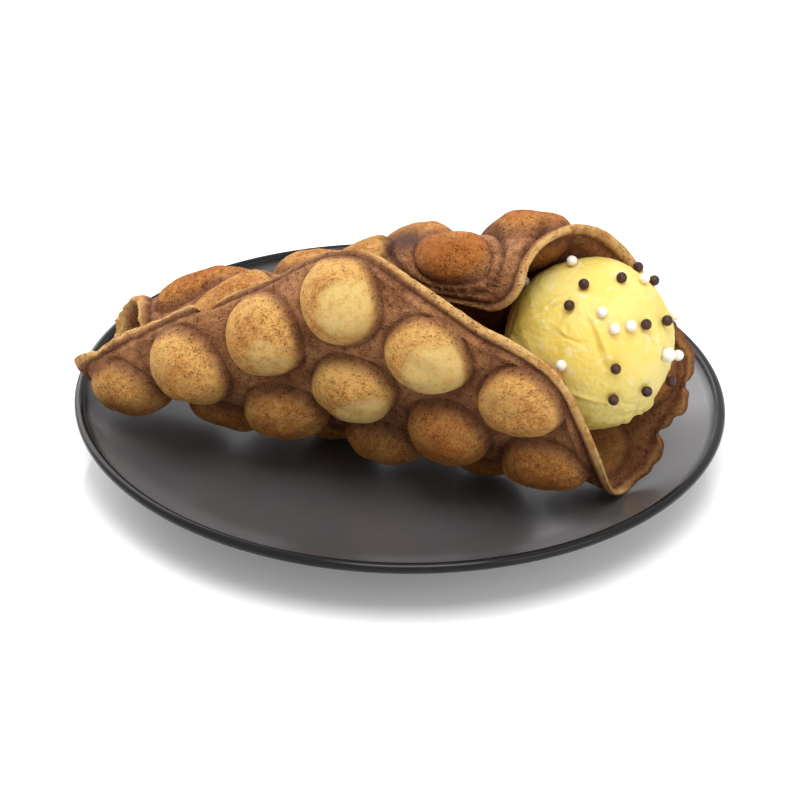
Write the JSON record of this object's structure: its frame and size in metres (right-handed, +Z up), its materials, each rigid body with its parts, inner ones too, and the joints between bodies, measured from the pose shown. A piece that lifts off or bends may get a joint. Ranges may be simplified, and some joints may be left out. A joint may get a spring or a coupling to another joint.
{
  "type": "bubble waffle roll with ice cream on a plate",
  "caption": "Bubble waffle rolled into a cone on a dark coupe plate, a scoop of ice cream with sugar pearls in its mouth.",
  "frame": {"origin": "middle of the plate at the bottom of its foot ring", "axes": "+Z up, +X towards the mouth of the roll, -Y towards the front flap of the waffle"},
  "size_m": [0.22, 0.22, 0.0994],
  "materials": {
    "stoneware": "dark grey matt glaze, glossy rim",
    "waffle": "baked golden brown crust, dry and matt",
    "ice_cream": "yellow, soft and faintly moist",
    "pearl_dark": "dark brown sugar shell, satin",
    "pearl_white": "white sugar shell, satin"
  },
  "bodies": {
    "root": {"plate": "stoneware", "waffle": "waffle", "ice_cream": "ice_cream", "pearl_dark_01": "pearl_dark", "pearl_dark_02": "pearl_dark", "pearl_dark_03": "pearl_dark", "pearl_dark_04": "pearl_dark", "pearl_dark_05": "pearl_dark", "pearl_dark_06": "pearl_dark", "pearl_dark_07": "pearl_dark", "pearl_dark_08": "pearl_dark", "pearl_dark_09": "pearl_dark", "pearl_dark_10": "pearl_dark", "pearl_dark_11": "pearl_dark", "pearl_white_01": "pearl_white", "pearl_white_02": "pearl_white", "pearl_white_03": "pearl_white", "pearl_white_04": "pearl_white", "pearl_white_05": "pearl_white", "pearl_white_06": "pearl_white", "pearl_white_07": "pearl_white", "pearl_white_08": "pearl_white", "pearl_white_09": "pearl_white", "pearl_white_10": "pearl_white"}
  },
  "joints": []
}
